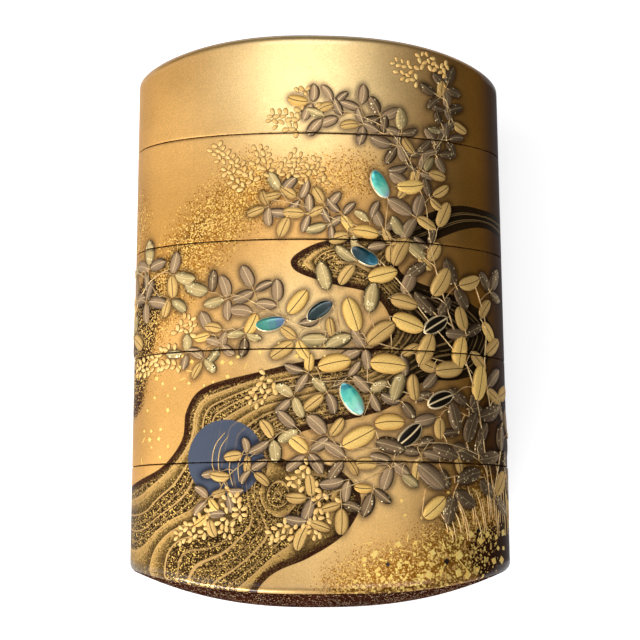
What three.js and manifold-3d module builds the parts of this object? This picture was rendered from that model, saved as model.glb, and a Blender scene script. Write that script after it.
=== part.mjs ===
// A four-tray inro: a lacquered seal and medicine case that hung from a sash.
// It lies on its back. Millimetres: X runs across, +Y towards the lid, +Z is the decorated front.

import * as THREE from 'three';
import { mergeVertices } from 'three/addons/utils/BufferGeometryUtils.js';
import Module from 'manifold-3d';

const wasm = await Module();
wasm.setup();

// The whole case
const halfWidth = 30;
const halfDepth = 13.9;
const halfLength = 45.8;
const restFlat = 0.2; // how much is levelled off the back, so that the case lies still
const axisHeight = halfDepth - restFlat; // the long axis above the surface that it lies on

// The crowned ends: how far the end falls from its middle to the side and to the front
const crown = { fallAcross: 6, fallDeep: 2.3, power: 2.4, shoulder: 0.9 };

// The stack: the first seam below the lid, then one seam a tray
const topSeam = 27.3;
const trayHeight = 17.1;
const seamGap = 0.3;
const edgeBevel = 0.2;

// The collar of each tray, and the recess above it that slides over the collar
const collar = { halfWidth: 24.4, halfDepth: 12.1, height: 3.6, wall: 1, bevel: 0.3 };
const slideGap = 0.3;
const innerPower = 2.4; // the inside is squarer than the outside
const recessDepth = 4.1;
const floorThickness = 1.6;
const endThickness = 2.2;
const hollowFillet = 1.6;
const recessFillet = 0.4;

// The bores that the cord runs through, down both narrow sides
const cordBore = { radius: 1.3, fromAxis: 27.3, segments: 12 };

const sectionSegments = 56;
const crownRings = [0.35, 0.65, 0.87];
const shoulderTurns = [0, 30, 60, 90]; // degrees round the shoulder, from the side to the end
const filletTurns = [0, 45, 90];

const goldLacquer = new THREE.MeshStandardMaterial({
  color: 0xb08a45, roughness: 0.32, metalness: 0.55,
});

// How far an end lies back from its middle at a point of the section
function crownFall(x, z) {
  const across = crown.fallAcross * Math.abs(x / halfWidth) ** crown.power;
  const deep = crown.fallDeep * (z / halfDepth) ** 2;
  return across + deep;
}

function signedPower(value, power) {
  return Math.sign(value) * Math.abs(value) ** power;
}

// A ring is one section of a tray: half sizes, how square it is, its height, and its bow.
// A bow of 1 follows the crowned lid end, -1 the crowned foot, and 0 is level.
function outerRing(inset, y, bow = 0) {
  return { w: halfWidth - inset, d: halfDepth - inset, n: 2, y, bow };
}

function innerRing(grow, y, bow = 0) {
  const w = collar.halfWidth + grow;
  const d = collar.halfDepth + grow;
  return { w, d, n: innerPower, y, bow };
}

function scaledRing(ring, share) {
  return { ...ring, w: ring.w * share, d: ring.d * share };
}

// Turns a closed profile of rings about the long axis, then gives each ring its real section
function turnRings(rings) {
  const profile = rings.map((ring) => new THREE.Vector2(ring.w, ring.y));
  const geometry = new THREE.LatheGeometry(profile, sectionSegments);
  const place = geometry.attributes.position;
  for (let i = 0; i < place.count; i += 1) {
    const ring = rings[i % rings.length];
    const turn = Math.floor(i / rings.length) % sectionSegments;
    const angle = (2 * Math.PI * turn) / sectionSegments;
    const x = ring.w * signedPower(Math.sin(angle), 2 / ring.n);
    const z = Math.max(ring.d * signedPower(Math.cos(angle), 2 / ring.n), -axisHeight);
    place.setXYZ(i, x, ring.y - ring.bow * crownFall(x, z), z);
  }
  return geometry;
}

// One closed mesh with shared corners, as a solid that can be cut
function toSolid(geometry) {
  const bare = geometry.clone();
  bare.deleteAttribute('normal');
  bare.deleteAttribute('uv');
  const merged = mergeVertices(bare, 1e-5);
  const index = merged.index.array;
  const corners = [];
  for (let i = 0; i < index.length; i += 3) {
    const [a, b, c] = [index[i], index[i + 1], index[i + 2]];
    if (a !== b && b !== c && c !== a) corners.push(a, b, c);
  }
  const vertProperties = new Float32Array(merged.attributes.position.array);
  const triVerts = new Uint32Array(corners);
  return new wasm.Manifold(new wasm.Mesh({ numProp: 3, vertProperties, triVerts }));
}

function toGeometry(solid) {
  const mesh = solid.getMesh();
  const geometry = new THREE.BufferGeometry();
  const place = new THREE.BufferAttribute(new Float32Array(mesh.vertProperties), 3);
  geometry.setAttribute('position', place);
  geometry.setIndex(new THREE.BufferAttribute(new Uint32Array(mesh.triVerts), 1));
  geometry.computeVertexNormals();
  return geometry;
}

// Both cord bores run the whole length, so each piece loses the stretch that passes through it
function cutCordBores(solid) {
  let bored = solid;
  for (const side of [-1, 1]) {
    const bore = new THREE.CylinderGeometry(
      cordBore.radius, cordBore.radius, 3 * halfLength, cordBore.segments,
    );
    bore.translate(side * cordBore.fromAxis, 0, 0);
    bored = bored.subtract(toSolid(bore));
  }
  return bored;
}

// The rings of a crowned end, from the side up to the middle. end is 1 at the lid and -1 at the foot.
function crownedEnd(end) {
  const rings = shoulderTurns.map((degrees) => {
    const turn = THREE.MathUtils.degToRad(degrees);
    const inset = crown.shoulder * (1 - Math.cos(turn));
    const y = end * (halfLength - crown.shoulder * (1 - Math.sin(turn)));
    return outerRing(inset, y, end);
  });
  const rim = rings[rings.length - 1];
  const inner = [...crownRings].reverse().map((share) => scaledRing(rim, share));
  return [...rings, ...inner, scaledRing(rim, 0)];
}

// The rings of a level or crowned inside end, from its wall to its middle
function insideEnd(wallRing, inward, fillet) {
  const rings = filletTurns.map((degrees) => {
    const turn = THREE.MathUtils.degToRad(degrees);
    const inset = fillet * (1 - Math.cos(turn));
    const y = wallRing.y + inward * fillet * (1 - Math.sin(turn));
    return { ...wallRing, w: wallRing.w - inset, d: wallRing.d - inset, y };
  });
  const rim = rings[rings.length - 1];
  const middle = wallRing.bow === 0 ? [] : [scaledRing(rim, 0.6)];
  return [...rings, ...middle, scaledRing(rim, 0)];
}

// The underside of a piece that sits on a tray: its seam edge and the recess over the collar
function seamSocket(seam, ceiling, fillet) {
  const mouth = seam + seamGap / 2;
  return [
    ...insideEnd(ceiling, -1, fillet).reverse(),
    innerRing(slideGap, mouth),
    outerRing(edgeBevel, mouth),
    outerRing(0, mouth + edgeBevel),
  ];
}

// The top of a tray: its seam edge, the collar round its mouth, and its hollow inside
function collaredMouth(seam, floor) {
  const mouth = seam - seamGap / 2;
  const lip = seam + collar.height;
  return [
    outerRing(0, mouth - edgeBevel),
    outerRing(edgeBevel, mouth),
    innerRing(0, mouth),
    innerRing(0, lip - collar.bevel),
    innerRing(-collar.bevel, lip),
    innerRing(-collar.wall, lip),
    ...insideEnd(floor, 1, hollowFillet),
  ];
}

function lidRings() {
  const ceiling = innerRing(slideGap, halfLength - endThickness, 1);
  return [...seamSocket(topSeam, ceiling, hollowFillet), ...crownedEnd(1)];
}

function trayRings(lowerSeam, upperSeam) {
  const ceiling = innerRing(slideGap, lowerSeam + recessDepth);
  const floor = innerRing(-collar.wall, ceiling.y + floorThickness);
  return [...seamSocket(lowerSeam, ceiling, recessFillet), ...collaredMouth(upperSeam, floor)];
}

function footRings(upperSeam) {
  const floor = innerRing(-collar.wall, endThickness - halfLength, -1);
  return [...crownedEnd(-1).reverse(), ...collaredMouth(upperSeam, floor)];
}

function addPiece(group, name, rings) {
  const mesh = new THREE.Mesh(toGeometry(cutCordBores(toSolid(turnRings(rings)))), goldLacquer.clone());
  mesh.name = name;
  mesh.position.z = axisHeight;
  group.add(mesh);
}

const inro = new THREE.Group();
inro.name = 'inro';
addPiece(inro, 'lid', lidRings());
const middleTrays = 3;
for (let i = 0; i < middleTrays; i += 1) {
  const upperSeam = topSeam - i * trayHeight;
  addPiece(inro, `case_${i + 1}`, trayRings(upperSeam - trayHeight, upperSeam));
}
addPiece(inro, `case_${middleTrays + 1}`, footRings(topSeam - middleTrays * trayHeight));

export default inro;
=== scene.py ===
import random
from functools import reduce
from math import atan2, copysign, cos, dist, hypot, pi, radians, sin
import bpy
import bmesh
import numpy as np
from mathutils import Matrix, Vector, noise


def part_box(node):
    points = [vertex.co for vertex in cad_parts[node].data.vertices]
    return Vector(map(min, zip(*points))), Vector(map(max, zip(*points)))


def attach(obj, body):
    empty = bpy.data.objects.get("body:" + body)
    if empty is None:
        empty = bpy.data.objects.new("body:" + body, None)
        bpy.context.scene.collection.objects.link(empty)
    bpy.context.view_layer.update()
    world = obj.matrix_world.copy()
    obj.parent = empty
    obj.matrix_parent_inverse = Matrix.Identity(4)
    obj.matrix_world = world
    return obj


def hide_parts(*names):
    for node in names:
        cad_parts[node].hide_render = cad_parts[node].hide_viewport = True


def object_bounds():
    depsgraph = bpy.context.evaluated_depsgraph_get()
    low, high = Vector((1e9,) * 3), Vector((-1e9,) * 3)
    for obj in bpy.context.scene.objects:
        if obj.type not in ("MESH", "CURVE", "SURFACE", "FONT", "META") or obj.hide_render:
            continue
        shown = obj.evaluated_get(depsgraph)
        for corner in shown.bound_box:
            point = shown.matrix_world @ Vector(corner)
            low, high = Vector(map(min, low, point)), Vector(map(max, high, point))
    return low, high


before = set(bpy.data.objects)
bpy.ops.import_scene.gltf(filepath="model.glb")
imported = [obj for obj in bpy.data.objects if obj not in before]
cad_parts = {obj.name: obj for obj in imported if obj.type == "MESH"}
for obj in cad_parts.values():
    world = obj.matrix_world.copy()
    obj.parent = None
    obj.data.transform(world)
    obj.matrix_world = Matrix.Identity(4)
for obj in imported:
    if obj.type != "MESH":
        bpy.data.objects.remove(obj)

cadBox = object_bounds()
collection = bpy.context.scene.collection
mm = 0.001
print("frame loaded")

# The form of the case. Its overall size comes from the frame.

pieceNames = ["lid", "case_1", "case_2", "case_3", "case_4"]

body = {
    "restFlat": 0.2 * mm,  # levelled off the back
    "fallAcross": 6 * mm,  # how far an end falls from its middle to the side
    "fallDeep": 2.3 * mm,  # and from its middle to the front
    "crownPower": 2.4,
    "shoulder": 0.9 * mm,
    "shoulderSteps": 6,
    "seamLine": 0.15 * mm,  # the fine open joint between two pieces
    "seamBevel": 0.13 * mm,
    "bevelSteps": 3,
    "columns": 400,
    "rowStep": 0.36 * mm,
    "endRings": 30,
    "weld": 0.002 * mm,
    "sharpEdge": radians(40),
}
collar = {
    "halfWidth": 24.4 * mm,
    "halfDepth": 12.1 * mm,
    "height": 3.6 * mm,
    "wall": 1 * mm,
    "bevel": 0.3 * mm,
    "slideGap": 0.3 * mm,
    "recess": 4.1 * mm,  # how deep the piece above takes the collar
    "floor": 1.6 * mm,
    "end": 2.2 * mm,
    "fillet": 1.6 * mm,
    "recessFillet": 0.4 * mm,
    "filletSteps": 5,
    "endRings": 12,
    "power": 2.4,  # the inside is squarer than the outside
}
cordBore = {"radius": 1.3 * mm, "fromAxis": 27.3 * mm, "sides": 32}

halfWidth = (cadBox[1].x - cadBox[0].x) / 2
halfLength = (cadBox[1].y - cadBox[0].y) / 2
halfDepth = (cadBox[1].z - cadBox[0].z + body["restFlat"]) / 2
axisHeight = halfDepth - body["restFlat"]
cadSeamGap = 0.3 * mm
seams = [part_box(name)[0].y - cadSeamGap / 2 for name in pieceNames[:-1]]

# The side of the case is an oval tube, so a flat sheet wraps round it without stretching.
# A place on the sheet is (arc from the middle of the front, height along the case), in mm.

quarterTurns = np.linspace(0, pi / 2, 2001)
across, deep = halfWidth * np.sin(quarterTurns), halfDepth * np.cos(quarterTurns)
arcTable = np.concatenate(([0], np.cumsum(np.hypot(np.diff(across), np.diff(deep))))) / mm
quarterArc = arcTable[-1]
fullArc = 4 * quarterArc


def sectionAngle(arc):
    arc = (arc + fullArc / 2) % fullArc - fullArc / 2
    size = abs(arc)
    turned = np.interp(min(size, 2 * quarterArc - size), arcTable, quarterTurns)
    return copysign(turned if size <= quarterArc else pi - turned, arc)


def sheetArc(x, z):
    turned = np.arctan2(np.abs(x) / halfWidth, (z - axisHeight) / halfDepth)
    size = np.interp(np.minimum(turned, pi - turned), quarterTurns, arcTable)
    return np.copysign(np.where(turned <= pi / 2, size, 2 * quarterArc - size), x)


def onBody(arc, y, lift):
    angle = sectionAngle(arc)
    x, z = halfWidth * sin(angle), halfDepth * cos(angle)
    out = Vector((halfDepth * sin(angle), 0, halfWidth * cos(angle))).normalized()
    spot = Vector((x, y * mm, z + axisHeight)) + out * lift * mm
    spot.z = max(spot.z, 0.0)
    return spot


def onward(spot, turn, reach):
    return (spot[0] + reach * cos(turn), spot[1] + reach * sin(turn))


def crownFall(x, z):
    acrossFall = body["fallAcross"] * abs(x / halfWidth) ** body["crownPower"]
    return acrossFall + body["fallDeep"] * (z / halfDepth) ** 2


def curveThrough(points, steps):
    points = [np.array(point, float) for point in points]
    ends = [points[0]] + points + [points[-1]]
    curve = []
    for a, b, c, d in zip(ends, ends[1:], ends[2:], ends[3:]):
        for step in range(steps):
            t = step / steps
            bend = (2 * a - 5 * b + 4 * c - d) * t * t + (3 * b - a - 3 * c + d) * t ** 3
            curve.append((2 * b + (c - a) * t + bend) / 2)
    return curve + [points[-1]]


# The five pieces, each turned from a closed profile and then given its oval section.
# A ring is (half width, half depth, power, y, bow, inside).


def outerRing(inset, y, bow=0):
    return (halfWidth - inset, halfDepth - inset, 2, y, bow, 0)


def innerRing(grow, y, bow=0):
    return (collar["halfWidth"] + grow, collar["halfDepth"] + grow, collar["power"], y, bow, 1)


def scaledRing(ring, share):
    return (ring[0] * share, ring[1] * share) + ring[2:]


def roundedRings(ring, radius, inward, steps):
    rings = []
    for step in range(steps + 1):
        turn = step / steps * pi / 2
        inset, rise = radius * (1 - cos(turn)), inward * radius * (1 - sin(turn))
        rings.append((ring[0] - inset, ring[1] - inset, ring[2], ring[3] + rise) + ring[4:])
    return rings


def closingRings(rings, steps):
    return rings + [scaledRing(rings[-1], 1 - step / steps) for step in range(1, steps + 1)]


def crownedEnd(end):
    rim = outerRing(0, end * halfLength, end)
    return closingRings(roundedRings(rim, body["shoulder"], -end, body["shoulderSteps"]), body["endRings"])


def insideEnd(ring, inward, fillet):
    rings = roundedRings(ring, fillet, inward, collar["filletSteps"])
    return closingRings(rings, collar["endRings"] if ring[4] else 1)


def seamSocket(seam, ceiling, fillet):
    mouth = seam + body["seamLine"] / 2
    edge = roundedRings(outerRing(0, mouth), body["seamBevel"], 1, body["bevelSteps"])
    return insideEnd(ceiling, -1, fillet)[::-1] + [innerRing(collar["slideGap"], mouth)] + edge[::-1]


def collaredMouth(seam, floor):
    mouth, lip = seam - body["seamLine"] / 2, seam + collar["height"]
    edge = roundedRings(outerRing(0, mouth), body["seamBevel"], -1, body["bevelSteps"])
    lipEdge = roundedRings(innerRing(0, lip), collar["bevel"], -1, body["bevelSteps"])
    rings = edge + [innerRing(0, mouth)] + lipEdge + [innerRing(-collar["wall"], lip)]
    return rings + insideEnd(floor, 1, collar["fillet"])


def sideRows(below, above):
    low, high = below[-1], above[0]
    rows = max(2, round((high[3] - low[3]) / body["rowStep"]))
    rings = []
    for row in range(1, rows):
        # under a crowned end the rows bend with it, a little more at each step
        blended = [low[k] + (high[k] - low[k]) * row / rows for k in range(5)]
        rings.append(tuple(blended) + (0,))
    return below + rings + above


def pieceRings(name):
    index = pieceNames.index(name)
    if name == "lid":
        ceiling = innerRing(collar["slideGap"], halfLength - collar["end"], 1)
        return sideRows(seamSocket(seams[0], ceiling, collar["fillet"]), crownedEnd(1))
    if index == len(pieceNames) - 1:
        floor = innerRing(-collar["wall"], collar["end"] - halfLength, -1)
        return sideRows(crownedEnd(-1)[::-1], collaredMouth(seams[-1], floor))
    lower, upper = seams[index], seams[index - 1]
    ceiling = innerRing(collar["slideGap"], lower + collar["recess"])
    floor = innerRing(-collar["wall"], ceiling[3] + collar["floor"])
    return sideRows(seamSocket(lower, ceiling, collar["recessFillet"]), collaredMouth(upper, floor))


columnAngles = [sectionAngle(column / body["columns"] * fullArc) for column in range(body["columns"])]


def signedPower(value, power):
    return copysign(abs(value) ** power, value)


def newMesh(name, shape):
    mesh = bpy.data.meshes.new(name)
    shape.to_mesh(mesh)
    shape.free()
    return mesh


def newObject(name, shape):
    made = bpy.data.objects.new(name, newMesh(name, shape))
    collection.objects.link(made)
    return made


def faceFinish(rings):
    # 0 is the painted side, 1 an end, 2 the inside
    inside, wide = (sum(ring[k] for ring in rings) / len(rings) for k in (5, 0))
    if inside > 0.4:
        return 2
    return 1 if inside == 0 and wide < halfWidth - 0.6 * body["shoulder"] else 0


def turnPiece(name):
    rings = pieceRings(name)
    shell = bmesh.new()
    ringLayer = shell.verts.layers.int.new("ring")
    chain = []
    for index, ring in enumerate(rings):
        corner = shell.verts.new((ring[0], ring[3], 0))
        corner[ringLayer] = index
        chain.append(corner)
    edges = [shell.edges.new(pair) for pair in zip(chain, chain[1:])]
    bmesh.ops.spin(
        shell, geom=chain + edges, cent=(0, 0, 0), axis=(0, 1, 0),
        angle=2 * pi, steps=body["columns"], use_merge=True,
    )
    for corner in shell.verts:
        w, d, power, y, bow, inside = rings[corner[ringLayer]]
        turn = atan2(corner.co.x, corner.co.z) / (2 * pi) * body["columns"]
        angle = columnAngles[round(turn) % body["columns"]]
        x = w * signedPower(sin(angle), 2 / power)
        z = max(d * signedPower(cos(angle), 2 / power), -axisHeight)
        corner.co = (x, y - bow * crownFall(x, z), z + axisHeight)
    for face in shell.faces:
        face.smooth = True
        face.material_index = faceFinish([rings[corner[ringLayer]] for corner in face.verts])
    shell.verts.layers.int.remove(ringLayer)
    bmesh.ops.remove_doubles(shell, verts=shell.verts, dist=body["weld"])
    bmesh.ops.recalc_face_normals(shell, faces=shell.faces)
    for edge in shell.edges:
        if len(edge.link_faces) == 2 and edge.calc_face_angle() > body["sharpEdge"]:
            edge.smooth = False
    return newObject(name + "_shell", shell)


def boreCutter():
    cutter = bmesh.new()
    for side in (-1, 1):
        middle = Matrix.Translation((side * cordBore["fromAxis"], 0, axisHeight))
        bmesh.ops.create_cone(
            cutter, cap_ends=True, segments=cordBore["sides"], radius1=cordBore["radius"],
            radius2=cordBore["radius"], depth=3 * halfLength,
            matrix=middle @ Matrix.Rotation(pi / 2, 4, "X"),
        )
    for face in cutter.faces:
        face.smooth = len(face.verts) == 4
    return newObject("bore_cutter", cutter)


shells = {}
cutter = boreCutter()
for name in pieceNames:
    shells[name] = turnPiece(name)
    for slot in ("side", "end", "inside"):  # stand-ins, so that each face keeps its slot in the cut
        shells[name].data.materials.append(bpy.data.materials.new(slot))
    bore = shells[name].modifiers.new("cord bores", "BOOLEAN")
    bore.object = cutter
    bore.operation = "DIFFERENCE"
    bore.solver = "MANIFOLD"
graph = bpy.context.evaluated_depsgraph_get()
for shell in shells.values():
    finished = bpy.data.meshes.new_from_object(shell.evaluated_get(graph), depsgraph=graph)
    shell.modifiers.clear()
    shell.data = finished
bpy.data.objects.remove(cutter)
print("case turned", [len(shell.data.polygons) for shell in shells.values()])

# The picture, laid out on the sheet in mm. The stream runs in from the right, bends through the
# middle, spreads into a pool at the lower left and comes round the back again.

stream = {
    "outerBank": [
        (-35.6, -27.3), (-31, -26.3), (-26, -24.4), (-22.6, -20.5), (-21.9, -16), (-19, -12.6),
        (-11, -10.6), (-4, -9), (5, -7.4), (9.3, -5), (9.8, -2), (7, 1.7), (1, 3.1), (-4, 4.7),
        (-5.6, 6.2), (-4.8, 7.8), (-1, 9.7), (5, 10.8), (11.5, 12.9), (17, 15.4), (22, 17),
        (28, 17), (35, 17), (50, 20), (70, 12), (90, -10), (107, -27.3),
    ],
    "innerBank": [
        (-13.5, -47), (-9, -41), (-3, -38.2), (2, -35), (4.6, -31), (4.2, -28), (0.5, -24.8),
        (-6, -24), (-8.5, -22.3), (-6.5, -20.4), (0, -18.4), (8.9, -16), (14.6, -11.8), (21, -11),
        (26, -9), (29.2, -4), (27.5, -0.8), (23, 1.6), (17, 3.1), (12.5, 4.6), (11.1, 6.3),
        (12.3, 8.4), (17.8, 11.1), (23, 13.3), (28, 14.1), (35, 13), (50, 13), (68, 2),
        (82, -20), (92, -38), (98, -47),
    ],
    "bands": 10,
    "stray": 0.4,  # how far the bands wander
    "eddies": [  # arc, height, how many bands each one adds, how wide it is
        (-8, -29.5, 3, 3.4), (-24, -36, 1.6, 5), (0.5, 6.2, 1.4, 2.6), (2.5, -30.5, 1.3, 2.2),
    ],
}
moon = {"centre": (-15.7, -23.5), "radius": 5.9}

# Drifts of sprinkled flakes: the line they follow, how far they reach, how thick they lie
goldDrifts = [
    ([(-11, 19), (-19, 12), (-26, 4), (-31, -3), (-34, -9)], 7.5, 0.95),
    ([(-6, 19), (5, 21)], 5.5, 0.6), ([(4, -44), (14, -41), (21, -36), (24, -31)], 8, 1.2),
    ([(-34, 16), (-40, 0), (-38, -14)], 6, 0.7), ([(60, -36), (74, -40), (84, -42)], 8, 0.8),
]
coarseDrifts = [
    ([(9, -42.5), (15, -40.5), (20, -38), (24, -38)], 6.5, 0.9), ([(60, -36), (74, -40)], 6, 0.6),
]
# dark umber blotches; the last three, round the right side, are painted shade
umberDrifts = [
    ([(-30, 2), (-32, -6), (-34, -13)], 7, 1.0), ([(-20, 13), (-27, 5), (-31, -1)], 6, 0.5),
    ([(26.5, -37.5), (32, -37.5), (36, -35)], 7, 1.5), ([(36, 44), (36, -44)], 7.5, 1.4),
    ([(33, -36), (34, -22), (36, -8)], 7.5, 1.25),
]
# Where the gold is yellower, and where it is browner: middle, reach, how strongly; the first yellow patch, at
# the top of the front, is a painted highlight under the top light
yellowGlow = [((-2, 36), 17, 1.0), ((-4, -3), 12, 0.75), ((6, -28), 14, 0.6), ((-2, -36), 14, 0.6)]
brownGlow = [
    ((-29, 13), 13, 0.6), ((-27, -17), 12, 0.25), ((20, -27), 9, 0.5), ((-31, 33), 9, 0.3),
    ((8, -36), 15, 0.45), ((4, 15), 12, 0.2),
]
shadeReach = 0.42  # of the painted shade round each leaf


def lineDistance(s, y, line):
    nearest = np.full(s.shape, 1e9)
    for (s0, y0), (s1, y1) in zip(line, line[1:]):
        run, rise = s1 - s0, y1 - y0
        share = ((s - s0) * run + (y - y0) * rise) / max(run * run + rise * rise, 1e-9)
        share = share.clip(0, 1)
        nearest = np.minimum(nearest, np.hypot(s - s0 - share * run, y - y0 - share * rise))
    return nearest


def roundDistance(s, y, line):
    # the sheet closes on itself round the back
    turns = [[(point[0] + turn * fullArc, point[1]) for point in line] for turn in (-1, 0, 1)]
    return np.minimum.reduce([lineDistance(s, y, turned) for turned in turns])


def within(s, y, outline):
    inside = np.zeros(s.shape, bool)
    for (s0, y0), (s1, y1) in zip(outline, outline[1:] + outline[:1]):
        if y0 != y1:
            inside ^= ((y0 > y) != (y1 > y)) & (s < (s1 - s0) * (y - y0) / (y1 - y0) + s0)
    return inside


def driftMask(s, y, drifts):
    mask = np.zeros(s.shape)
    for line, reach, strength in drifts:
        fade = (1 - roundDistance(s, y, line) / reach).clip(0, 1)
        mask = np.maximum(mask, strength * fade * fade * (3 - 2 * fade))
    return mask


def glowMask(s, y, patches):
    mask = np.zeros(s.shape)
    for (glowArc, glowY), reach, strength in patches:
        away = ((s - glowArc) ** 2 + (y - glowY) ** 2) / reach ** 2
        mask = np.maximum(mask, strength * np.exp(-away))
    return mask


def smoothStep(low, high, value):
    share = ((value - low) / (high - low)).clip(0, 1)
    return share * share * (3 - 2 * share)


outerBank, innerBank = (
    [tuple(point) for point in curveThrough(stream[bank], 6)] for bank in ("outerBank", "innerBank")
)
belowCase = -60
streamOutline = outerBank + [(outerBank[-1][0], belowCase), (innerBank[-1][0], belowCase)]
streamOutline += innerBank[::-1] + [(innerBank[0][0], belowCase), (outerBank[0][0], belowCase)]

# Bush clover: twigs that arch from the right bank, with leaves in threes.
# A twig is its line, how long its leaves are, how far their stalks reach, how far apart they
# spring and, on the dense ones, how much the leaves may crowd.

twigs = [
    ([(27, -32), (26, -22), (24, -12), (20, -2), (17, 8), (16, 16)], 4.3, 2.3, 4.2),
    ([(16, 16), (14.5, 20), (13, 24), (10, 28), (6, 30), (2, 31), (-1.5, 31.5)], 3.2, 1.2, 1.7, 0.45),
    ([(14, 22), (18, 26), (20.5, 31), (20, 34), (18.5, 36)], 2.9, 1.1, 1.5, 0.5),
    ([(17, 8), (12, 10), (6, 12), (1, 13.5), (-4, 15.5), (-8.5, 16.5)], 3.1, 1.2, 1.7, 0.45),
    ([(24, -10), (16, -2), (12, 3), (7, 8), (2, 11)], 4.2, 2.2, 4.4),
    ([(22, -9), (12, -7), (4, -5), (-4, -3.5), (-9, -1), (-14, 1.5), (-18, 1)], 3.6, 1.7, 2.7),
    ([(-9, -2), (-14, -4), (-18, -6), (-21, -8)], 2.9, 1.3, 2.0),
    ([(-38, -3), (-33, 1.5), (-29, 5), (-25, 6.5)], 3.6, 1.8, 3.0),
    ([(-36, 8), (-31, 6), (-27, 2)], 3.0, 1.5, 3.0),
    ([(24, -17), (14, -14), (6, -12), (-1, -12), (-7, -13)], 3.3, 1.6, 3.0),
    ([(26, -23), (18, -21), (8, -22), (0, -21.5), (-8, -19)], 3.6, 1.8, 3.0),
    ([(22, -22), (12, -24), (5, -27), (0, -29), (-3, -31)], 3.4, 1.6, 2.9),
    ([(26, -26), (20, -26), (15, -28)], 4.2, 2.0, 3.6),
    ([(-10, -22), (-15, -26), (-17, -29), (-20, -31.5)], 2.7, 1.2, 2.2),
    ([(28, -17), (26.5, -9), (27, -2), (24.5, 5)], 4.0, 2.2, 4.2),
    ([(28, -28), (30, -22), (31, -17)], 4.4, 2.3, 3.4),
    ([(52, -30), (55, -18), (57, -6), (56, 4)], 4, 2.4, 4.2),
]
accents = [  # the leaves that stand out: finish, middle, turn, length
    ("shellMint", (8.4, 19.3), 117, 4.9), ("shellTeal", (5.8, 7.7), 151, 4.9),
    ("shellViolet", (-8.8, -2.9), 190, 4.7), ("shellDark", (-1.2, -1.1), 216, 4.8),
    ("shellMint", (3.6, -14.6), 122, 5.6), ("outlined", (17.2, -2.7), 212, 4.8),
    ("outlined", (17.8, -14.4), 203, 4.8), ("outlined", (12.5, -19.9), 42, 5.0),
    ("polished", (13.3, 19.4), 8, 4.5), ("polished", (6.0, 11.4), -8, 4.2),
    ("pale", (11.6, 8.6), 62, 5.2), ("polished", (8.6, 4.8), 16, 4.9),
    ("polished", (3.8, -1.6), 108, 5.4), ("polished", (-4.6, 0.3), 52, 4.6),
    ("polished", (12.6, -2.6), -18, 5.4), ("pale", (8.2, -4.4), 38, 5.6), ("pale", (18.2, 4.2), 58, 5.4),
    ("polished", (21.6, -6.8), 80, 5.4), ("pale", (28.6, -5.2), 38, 4.3),
    ("polished", (25.2, -11.3), 77, 5.8), ("pale", (15.4, -6.6), 66, 5.4),
    ("polished", (9.3, -9.2), -4, 5.8), ("polished", (1.0, -9.2), 12, 5.2),
    ("pale", (19.4, -9.6), 8, 5.0), ("pale", (13.4, -12.6), 96, 4.2), ("polished", (9.4, -18.2), 4, 4.8),
    ("polished", (4.6, -20.4), 28, 5.6), ("polished", (16.4, -30.8), 40, 4.8),
    ("mauve", (15.9, -26.2), -40, 5.6), ("dusky", (9.5, -21.7), -15, 4.8),
    ("dusky", (20.2, -16.9), 105, 4.6), ("dusky", (23.3, -18.4), 68, 5.0),
    ("dusky", (18.4, -22.4), 162, 4.6), ("dusky", (22.6, -26.0), 20, 4.8),
    ("dusky", (27.4, -15.8), 200, 5.0), ("dusky", (30.2, -19.6), 85, 4.4),
    ("dusky", (27.2, -22.8), 12, 4.4), ("pale", (12.0, 0.6), -12, 4.6), ("misty", (-0.6, 4.4), 105, 4.6),
    ("misty", (6.8, 1.2), 80, 4.8), ("misty", (1.6, -5.8), 25, 4.4), ("misty", (10.8, -12.6), 70, 4.6),
    ("pale", (-16.4, -26.0), -8, 3.2),
]
trefoil = {
    "tries": 10,
    "leaves": ((0, 0.7, 1.05), (1, 0.15, 0.95), (-1, 0.15, 0.95)),  # lean, gap at the foot, scale
    "spread": radians(80),  # between a side leaf and the middle one
    "slender": 0.6,  # a leaf's width to its length
    "closest": 0.46,  # leaves nearer than this share of their length crowd each other
    "crowding": 0.22,  # past this a leaf is left off
    "fromEnd": 2.4,  # how far they keep from the ends of the case
}
accent = {"slender": 0.58, "footGap": 0.4, "stalkReach": 9, "root": (24, -12)}
strips = {  # width and height of what is drawn as a fine raised line
    "twig": (0.24, 0.2), "stalk": (0.17, 0.22), "accentStalk": (0.19, 0.22), "leafFoot": (0.18, 0.26),
    "grass": (0.25, 0.1), "reed": (0.22, 0.12),
}
clearings = [  # where no leaf grows: middle, reach
    ((25, 14), 6), ((24, 21), 5), ((26.5, 34), 4.5), ((-18, -21.5), 3.6), ((11, -37), 8), ((31, -4), 2),
]


def leafHeart(leaf):
    return onward(leaf["foot"], leaf["turn"], leaf["length"] / 2)


def onLeaf(leaf, s, y):
    # how far a place lies along a leaf and across it, from the leaf's middle
    away, sideways = s - leaf["heart"][0], y - leaf["heart"][1]
    ahead, aside = cos(leaf["turn"]), sin(leaf["turn"])
    return away * ahead + sideways * aside, sideways * ahead - away * aside


def crowding(leaf, others):
    heart = leafHeart(leaf)
    cost = 0.0
    for other in others:
        apart = dist(heart, other["heart"]) / (trefoil["closest"] * (leaf["length"] + other["length"]))
        cost += max(0.0, 1 - apart) ** 2
    return cost


def insideSheet(spot, margin):
    # the end of the case falls away to the sides
    angle = sectionAngle(spot[0])
    fall = crownFall(halfWidth * sin(angle), halfDepth * cos(angle))
    return abs(spot[1]) < (halfLength - fall) / mm - margin


def hasRoom(leaf, others, limit):
    heart = leafHeart(leaf)
    clear = all(dist(heart, middle) >= reach for middle, reach in clearings)
    return clear and insideSheet(heart, trefoil["fromEnd"]) and crowding(leaf, others) < limit


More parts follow.
